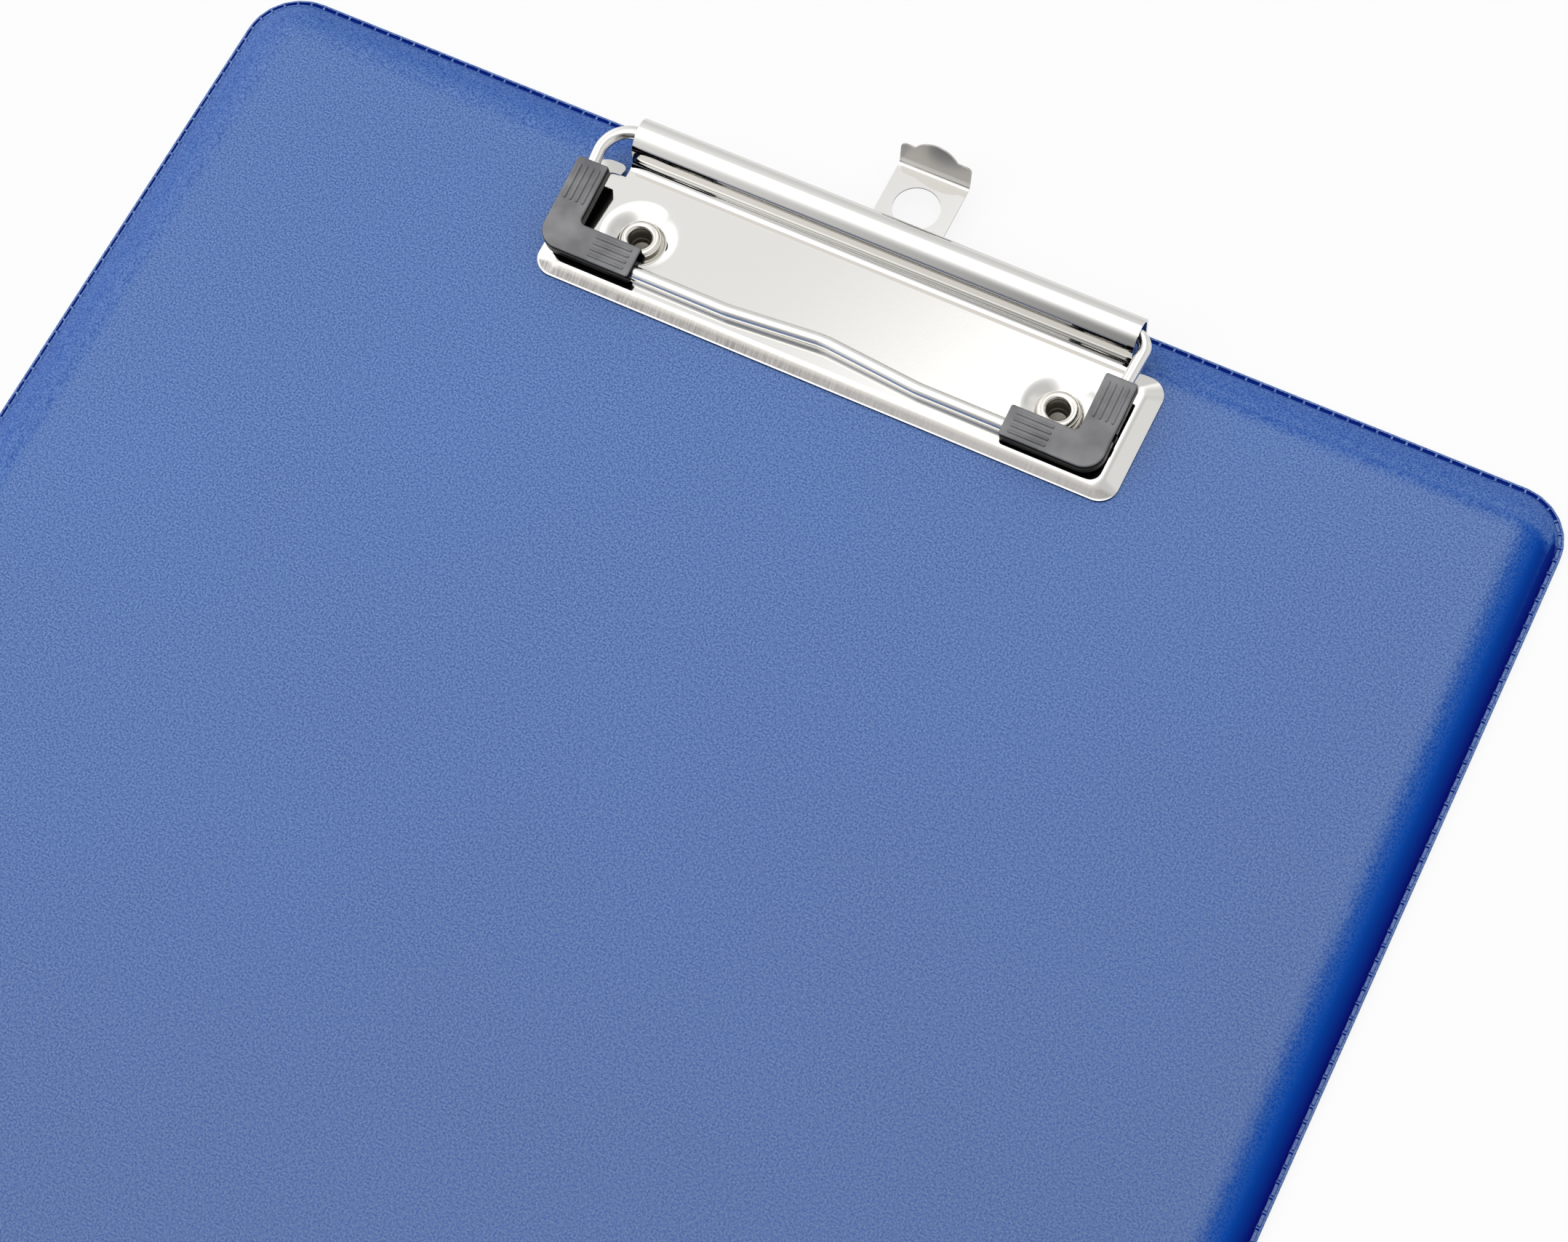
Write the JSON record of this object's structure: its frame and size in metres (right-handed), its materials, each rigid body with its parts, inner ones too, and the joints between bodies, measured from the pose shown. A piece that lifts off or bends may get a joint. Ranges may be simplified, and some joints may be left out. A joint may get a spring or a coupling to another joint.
{
  "type": "clipboard",
  "caption": "Stiff welded-foil writing board with a riveted sheet-steel clip, a sprung wire bail that pinches the paper, and a hanging tab that slides out.",
  "frame": {"origin": "centre of the board's flat back face", "axes": "+X to the right, +Y along the board towards the clip, +Z out of the front face"},
  "size_m": [0.23, 0.3324, 0.0116],
  "materials": {
    "greyboard": "matte",
    "foil": "fine grained satin",
    "plated_sheet": "bright nickel plate",
    "plated_rivet": "bright nickel plate",
    "plated_wire": "bright nickel plate",
    "moulded_black": "satin moulded"
  },
  "bodies": {
    "board": {"board_core": "greyboard", "front_cover": "foil", "back_cover": "foil", "clip_plate": "plated_sheet", "rivets": "plated_rivet"},
    "bail": {"wire_bail": "plated_wire", "left_grip": "moulded_black", "right_grip": "moulded_black"},
    "hanger": {"hanging_tab": "plated_sheet"}
  },
  "joints": [
    {"name": "bail_hinge", "type": "hinge", "parent": "board", "child": "bail", "pos_m": [0, 0.1553, 0.0088], "axis": [-1, 0, 0], "range_deg": [0, 75], "stiffness_Nm_per_rad": 0.5, "springref_deg": -2.86},
    {"name": "hanger_slide", "type": "slide", "parent": "board", "child": "hanger", "axis": [0, 1, 0], "range_m": [-0.012, 0]}
  ]
}
